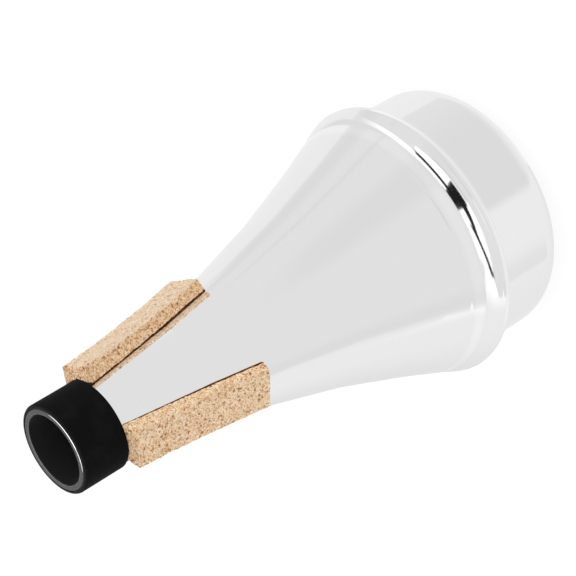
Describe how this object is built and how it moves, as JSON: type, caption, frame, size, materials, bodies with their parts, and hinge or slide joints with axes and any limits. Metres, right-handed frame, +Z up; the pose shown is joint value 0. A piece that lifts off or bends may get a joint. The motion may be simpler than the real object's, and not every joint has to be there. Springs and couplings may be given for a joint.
{
  "type": "trumpet straight mute",
  "caption": "Spun aluminium straight mute for a trumpet: flared hollow cone with a rolled rim seam, a closed cup end, cork strips and a rubber-collared mouth.",
  "frame": {"origin": "centre of the end cap's flat face, on which the mute stands", "axes": "+Z up the mute's axis from the end cap to the mouth; -Y through the middle of the first cork strip"},
  "size_m": [0.0802, 0.0802, 0.15],
  "materials": {
    "aluminium": "polished, fine spinning lines",
    "liner": "glossy black",
    "collar": "matte black",
    "cork": "bare pressed cork granules, matte",
    "glue": "dried brown contact glue"
  },
  "bodies": {
    "root": {"shell": "aluminium", "end_cap": "aluminium", "mouth_liner": "liner", "neck_collar": "collar", "cork_base_1": "cork", "cork_glue_1": "glue", "cork_block_1": "cork", "cork_base_2": "cork", "cork_glue_2": "glue", "cork_block_2": "cork", "cork_base_3": "cork", "cork_glue_3": "glue", "cork_block_3": "cork"}
  },
  "joints": []
}
